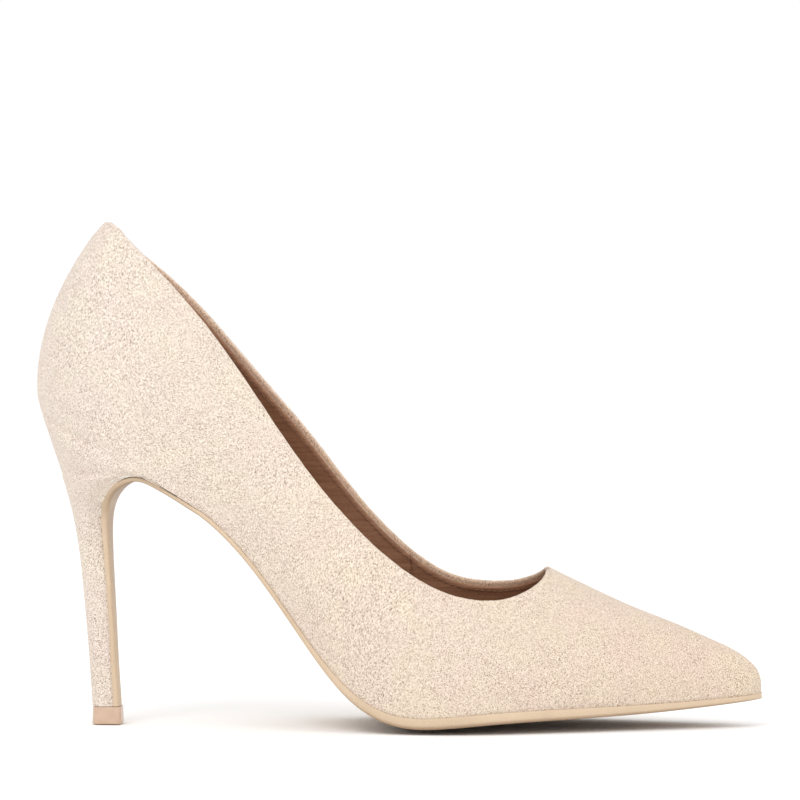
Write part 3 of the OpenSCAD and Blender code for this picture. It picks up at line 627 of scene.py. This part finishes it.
def insock_edge(sign):
    """Where the lining's inner face meets the insock's edge on one side, from heel to toe."""
    x = np.linspace(BACK_X, TOE_X, 400)
    curve = bottom_point(x, 0, INSOCK_LEVEL - INSOCK_ROUND + board_rise(x))
    a, t = np.linspace(.004, .985, 220), np.linspace(.004, .5, 90)
    pos, t = np.meshgrid(sign * a, t, indexing="ij")
    p = skin(pos, t) + (WALL_T - .12) * inward(pos, t)
    above = p[..., 2] - np.interp(p[..., 0], curve[:, 0], curve[:, 2])
    k = np.maximum(np.argmax(above > 0, axis=1), 1)
    row = np.arange(len(a))
    share = unit(-above[row, k - 1] / (above[row, k] - above[row, k - 1]))[:, None]
    return p[row, k - 1] + share * (p[row, k] - p[row, k - 1])


def build_insock():
    insock_low = 4.0      # height of the underside
    edges = [insock_edge(sign) for sign in (-1, 1)]
    low, high = max(e[:, 0].min() for e in edges), min(e[:, 0].max() for e in edges)
    seen_x = low + (high - low) * (1 - np.cos(np.pi * np.linspace(0, 1, 160))) / 2
    y0, y1 = (np.interp(seen_x, e[np.argsort(e[:, 0]), 0], e[np.argsort(e[:, 0]), 1]) for e in edges)
    x = np.linspace(BACK_X, TOE_X, 400)
    x = np.interp(seen_x, bottom_point(x, 0, INSOCK_LEVEL - INSOCK_ROUND + board_rise(x))[:, 0], x)
    across = np.linspace(-1, 1, 33)
    half = np.maximum((y1 - y0) / 2, 1)
    top, bottom = [], []
    for k in across:
        y = y0 + (y1 - y0) * (k + 1) / 2
        edge = np.minimum((1 - abs(k)) * half / 2.2, 1)
        crown = INSOCK_LEVEL - INSOCK_ROUND * (1 - np.sqrt(1 - (1 - edge) ** 2)) - .5 * (1 - k * k)
        top.append(bottom_point(x, y, crown + board_rise(x)))
        bottom.append(bottom_point(x, y, insock_low + board_rise(x)))
    n, m = len(x), len(across) * len(x)
    pts = np.concatenate([np.array(top).reshape(-1, 3), np.array(bottom).reshape(-1, 3)])
    faces = grid_faces(len(across), n) + grid_faces(len(across), n, m, flip=True)
    for k in (0, len(across) - 1):
        faces += [(k * n + i, k * n + i + 1, m + k * n + i + 1, m + k * n + i) for i in range(n - 1)]
    obj = outward(make("insock_leather", pts, faces, LINING))
    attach(obj, "root")
    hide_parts("insock")


build_insock()

# Rows of the outsole's flap, from under the arch to the top piece: x, z, half width, thickness
flap = np.array([[-66, 69.1, 20.4, 1.3], [-71, 72.3, 21, 1.3], [-76, 75.2, 21.4, 1.3], [-80, 77.1, 21, 1.3],
                 [-83.5, 77.6, 19.6, 1.4], [-87, 76.4, 17.6, 1.8], [-90.2, 73.8, 14.6, 2.2],
                 [-92.2, 70, 11.4, 2.3], [-93, 65, 8.8, 2.1], [-92.9, 57, 6.9, 1.8], [-92.3, 46, 5.8, 1.6],
                 [-91.6, 34, 5.2, 1.6], [-91, 22, 4.9, 1.6], [-90.3, 11, 4.7, 1.7],
                 [-89.95, 5.65, 4.6, 1.8]]) * [LK, HK, WK, 1]
flap_tables = [controls(flap[:, i]) for i in range(4)]


def flap_at(k):
    """The flap's x, z, half width, thickness and inward direction at parameter k, counted in rows."""
    x, z, half, t = (float(spline(c, k)) for c in flap_tables)
    (x0, z0), (x1, z1) = ([float(spline(c, q)) for c in flap_tables[:2]] for q in (k - .15, k + .15))
    return x, z, half, t, normalized(np.array([z1 - z0, 0, -(x1 - x0)]))


def sole_ring(half_low, half_high, t, bulge):
    """Section of the outsole from the medial top edge, round the bottom, to the lateral top edge."""
    mid, half = (half_low + half_high) / 2, (half_high - half_low) / 2
    inset = min(.34 * t, .5 * half)
    side = [(half - inset * (.3 if u < .45 else 1) * abs((u - .45) / .55) ** 2.4, -t * u)
            for u in np.linspace(0, 1, 13)]
    flat = half - inset
    under = [(mid + flat * k, -t - bulge * (1 - k * k)) for k in np.linspace(1, -1, 25)[1:-1]]
    return [(mid + y, h) for y, h in side] + under + [(mid - y, h) for y, h in side[::-1]]


def build_outsole():
    rings = []
    edge = .3      # how far the sole stands out past the upper
    for a in np.linspace(1, a_of(-62 * LK), 190):
        x = float(loop_x(a))
        half, mid = max(float(half_width(x)), .8) + edge, float(along(middle_y, x))
        ring = sole_ring(mid - half, mid + half, float(along(sole_edge, x)), float(along(sole_bulge, x)))
        y, h = np.array(ring).T
        p = bottom_point(np.full(len(ring), x), y, h - .05)
        p[:, 2] = np.maximum(p[:, 2], 0)
        rings.append(p)
    for k in np.linspace(0, len(flap) - 1, 150):
        x, z, half, t, into = flap_at(k)
        mid = float(along(middle_y, -66 * LK)) * float(unit(1 - k / 3))
        ring = sole_ring(mid - half, mid + half, t, .3)
        rings.append(np.array([[x, y, z] + into * (h + t) for y, h in ring]))
    n = len(rings[0])
    points = np.concatenate(rings)
    faces = grid_faces(len(rings), n, close=True)
    faces += [tuple(range(n)), tuple(range((len(rings) - 1) * n, len(rings) * n))]
    obj = outward(make("outsole_leather", points, faces, SOLE))
    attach(obj, "root")
    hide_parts("outsole")


build_outsole()

# ---- Heel ----
# Rows of the heel from the top piece up: z, back x, front x, half width, share of depth where it is widest
heel_rows = np.array([[5.65, -98.9, -91.8, 4.7, .5], [14, -99.5, -92.3, 4.8, .5], [24, -100.2, -92.9, 5, .5],
                      [36, -101.2, -93.5, 5.3, .5], [47, -102.2, -94.1, 5.9, .5],
                      [57, -103.4, -94.8, 6.9, .55], [65, -104.8, -95.2, 8.9, .6],
                      [70, -105.9, -94.8, 11.6, .66], [74, -107, -93.8, 15.4, .74],
                      [76.8, -107.8, -92, 18.4, .82], [78.6, -108.4, -89, 20.6, .9]]) * [HK, LK, LK, WK, 1]
FAN_START = 7.0       # flap row where the heel's front starts to turn into the arch


def flap_inner(k, tuck):
    """Side-view point on the flap's inner face at row k, moved a little into the flap, and its half width."""
    x, z, half, t, into = flap_at(k)
    return np.array([x, z]) + (t - tuck) * into[[0, 2]], half


def seat_back(z):
    """X of the seat's back at a height."""
    return (-108.4 - .325 * (z / HK - 79.2)) * LK


def heel_profile():
    """The rows of the heel and of its seat, made smooth: columns as in heel_rows."""
    x = np.array([-80.6, -84, -88, -93, -98, -103, -107.5, -111, -113.2]) * LK
    z = along(feather_z, x) - .06
    seat = np.stack([z, seat_back(z), x - .04, half_width(x), np.full(len(x), .98)], -1)
    rows = np.concatenate([heel_rows, seat])
    k = np.linspace(0, len(rows) - 1, 500)
    return np.stack([spline(controls(rows[:, i]), k) for i in range(5)], -1)


profile = heel_profile()


def heel_half(x, z):
    """Half width of the heel at a place in the side view: round at the back, straight sides in front."""
    back, front, half, share = (np.interp(z, profile[:, 0], profile[:, i]) for i in (1, 2, 3, 4))
    d = (x - back) / (front - back)
    y = np.where(d < share, half * dome(d / share),
                 half * (1 - .16 * smooth((.98 - share) / .48) * unit((d - share) / (1 - share))))
    ahead = smooth((x - front) / (8 * LK)) * smooth((z - 74 * HK) / (4 * HK))
    return y + ahead * (.985 * half_width(x) - y)


def build_heel():
    """Level rings up the stem, then rings that swing into the seat."""
    steps = 48
    depth = 1 - np.cos(np.pi / 2 * np.linspace(0, 1, steps))     # 0 at the back, 1 in front
    fronts = np.array([flap_inner(q, .4)[0] for q in np.linspace(FAN_START, len(flap) - 1, 120)])[::-1]
    rings = []
    fan_foot = flap_inner(FAN_START, .4)[0][1]
    for z in np.linspace(heel_rows[0, 0], fan_foot, 70):
        back = np.interp(z, profile[:, 0], profile[:, 1])
        x = back + depth * (np.interp(z, fronts[:, 1], fronts[:, 0]) - back)
        rings.append((x, heel_half(x, z), np.full(steps, z)))
    # Sections that swing from level, through the arch, into the seat under the upper
    for swing in np.linspace(0, 1, 80)[1:]:
        front, half = flap_inner(FAN_START * (1 - swing), .4 * (1 - swing) + .1)
        z_back = (1 - swing) * fan_foot + swing * float(along(feather_z, BACK_X))
        x_back = (1 - swing ** 3) * np.interp(z_back, profile[:, 0], profile[:, 1]) + swing ** 3 * BACK_X
        x = x_back + depth * (front[0] - x_back)
        line = z_back + depth * (front[1] - z_back)
        z = line + swing ** 2 * (along(feather_z, x) - .02 - line)
        y = heel_half(x, z)
        y = y + swing ** 6 * (half_width(x) - y)
        y = y * (1 + ((half - .15) / y[-1] - 1) * depth ** 9)
        rings.append((x, y, z))
    points = []
    for x, y, z in rings:
        mid = along(middle_y, np.maximum(x, -120)) * unit((z - 70 * HK) / (12 * HK))
        points += [np.array([x[i], mid[i] - y[i], z[i]]) for i in range(steps - 1, -1, -1)]
        points += [np.array([x[i], mid[i] + y[i], z[i]]) for i in range(1, steps)]
    obj = outward(make("heel_cover_suede", points, grid_faces(len(rings), 2 * steps - 1), SUEDE))
    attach(obj, "root")
    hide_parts("heel_cover")


build_heel()


# ---- Top piece ----
def build_tip():
    back, front, half = tip_low[0] - SHIFT[0], tip_high[0] - SHIFT[0], (tip_high[1] - tip_low[1]) / 2
    height = tip_high[2]

    def plan(grow):
        """Rounded outline with flat sides: wide round corners at the back, tighter ones in front."""
        corners = ((front, half, 1.5, 0), (back, half, 2.3, 90),
                   (back, -half, 2.3, 180), (front, -half, 1.5, 270))
        out = []
        for x, y, r, turn in corners:
            cx, cy = x - math.copysign(r, x - (back + front) / 2), y - math.copysign(r, y)
            for w in np.radians(np.linspace(turn, turn + 90, 12)):
                out.append((cx + (r + grow) * math.cos(w), cy + (r + grow) * math.sin(w)))
        return out

    sections = ((0, -.3), (.1, -.1), (.3, 0), (height * .5, -.12), (height - .35, -.2), (height - .12, -.22),
                (height, -.35))      # height and how much the outline grows there
    rings = [[(x, y, z) for x, y in plan(grow)] for z, grow in sections]
    n = len(rings[0])
    faces = grid_faces(len(rings), n, close=True)
    faces += [tuple(range(n))[::-1], tuple(range((len(rings) - 1) * n, len(rings) * n))]
    obj = outward(make("top_piece_tip", np.concatenate(rings), faces, TIP))
    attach(obj, "root")
    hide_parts("top_piece")


build_tip()


# ---- Stitches along the topline ----
def build_stitches():
    """Single stitches an even pitch apart, each a short spindle whose ends dip into the leather."""
    p, down, into = edge_loop(LINING_DROP + 1.1, 400)
    lengths = np.concatenate([[0], np.cumsum(np.linalg.norm(np.roll(p, -1, 0) - p, axis=1))])
    pitch = 2.1
    count = int(lengths[-1] / pitch)
    places = np.arange(count) * lengths[-1] / count

    def evenly(values):
        closed = np.concatenate([values, values[:1]])
        return np.stack([np.interp(places, lengths, closed[:, i]) for i in range(3)], -1)

    at, down_at, into_at = evenly(p), evenly(down), evenly(into)
    points, faces = [], []
    for k in range(count):
        d, i = down_at[k], into_at[k]
        fwd = normalized(np.cross(d, i))
        start = len(points)
        for s, r, lift in ((-.8, .05, -.12), (-.6, .16, 0), (0, .2, .08), (.6, .16, 0), (.8, .05, -.12)):
            for q in np.linspace(0, 2 * np.pi, 8, endpoint=False):
                depth = WALL_T + .05 + lift + r * math.cos(q)
                points.append(at[k] + fwd * s + i * depth + d * r * math.sin(q))
        faces += grid_faces(5, 8, start, close=True)
        faces += [tuple(range(start, start + 8)), tuple(range(start + 32, start + 40))]
    obj = outward(make("topline_stitches", points, faces, THREAD))
    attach(obj, "root")
    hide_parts("topline_thread")


build_stitches()

# ---- Inner pieces keep their CAD shape and get their own finishes ----
finishes = {
    "stiffener": plain((214, 202, 180)), "foam": plain((236, 228, 206), .95),
    "fibre_board": plain((176, 146, 112)), "steel": plain((200, 200, 202), .3, 1.0),
    "cork": plain((150, 112, 80)), "heel_plastic": plain((225, 222, 214), .5)}
made = {}
for part in frame["record"]["subparts"]:
    slot_name = part["material_slot"]
    if slot_name in finishes and part["node"] in frame["nodes"]:
        if slot_name not in made:
            made[slot_name] = material(slot_name + "_finish", finishes[slot_name])
        node = frame["nodes"][part["node"]]
        node.data.materials.clear()
        node.data.materials.append(made[slot_name])

# ---- Stage, light and camera ----
scene = bpy.context.scene


def floor_finish(nodes, links, shader):
    shader.inputs["Base Color"].default_value = srgb(254, 254, 254)
    shader.inputs["Roughness"].default_value = .9
    shader.inputs["Specular IOR Level"].default_value = 0


bpy.ops.mesh.primitive_plane_add(size=60, location=(0, 0, -.0003))
floor = bpy.context.object
floor.name = "floor"
floor.data.materials.append(material("floor_finish", floor_finish))

world = bpy.data.worlds.new("studio")
scene.world = world
world.use_nodes = True
world.node_tree.nodes["Background"].inputs["Color"].default_value = (1, 1, 1, 1)
world.node_tree.nodes["Background"].inputs["Strength"].default_value = 1.02


def area_light(name, place, target, size, power):
    light = bpy.data.lights.new(name, "AREA")
    light.shape, light.size, light.energy = "DISK", size, power
    obj = bpy.data.objects.new(name, light)
    scene.collection.objects.link(obj)
    obj.location = place
    obj.rotation_euler = (Vector(target) - Vector(place)).to_track_quat("-Z", "Y").to_euler()


area_light("key", (-.5, -1.2, 1.5), (0, 0, .05), .9, 10)
area_light("fill", (1.1, -.9, .9), (0, 0, .05), .9, 4)

scene.view_settings.view_transform = "Standard"

yaw, distance, eye = math.radians(2.5), 1.4, .135
view_width, aim_height = .256, .10395      # width of the picture at the shoe, and height of its centre
camera = bpy.data.cameras.new("camera")
camera.sensor_width = 36
camera.lens = camera.sensor_width * distance / view_width
cam = bpy.data.objects.new("camera", camera)
scene.collection.objects.link(cam)
centre = Vector((SHIFT[0] / MM, SHIFT[1] / MM, 0))
cam.location = centre + Vector((math.sin(yaw) * distance, -math.cos(yaw) * distance, eye))
aim = centre + Vector((0, 0, aim_height))
cam.rotation_euler = (aim - cam.location).to_track_quat("-Z", "Y").to_euler()
scene.camera = cam
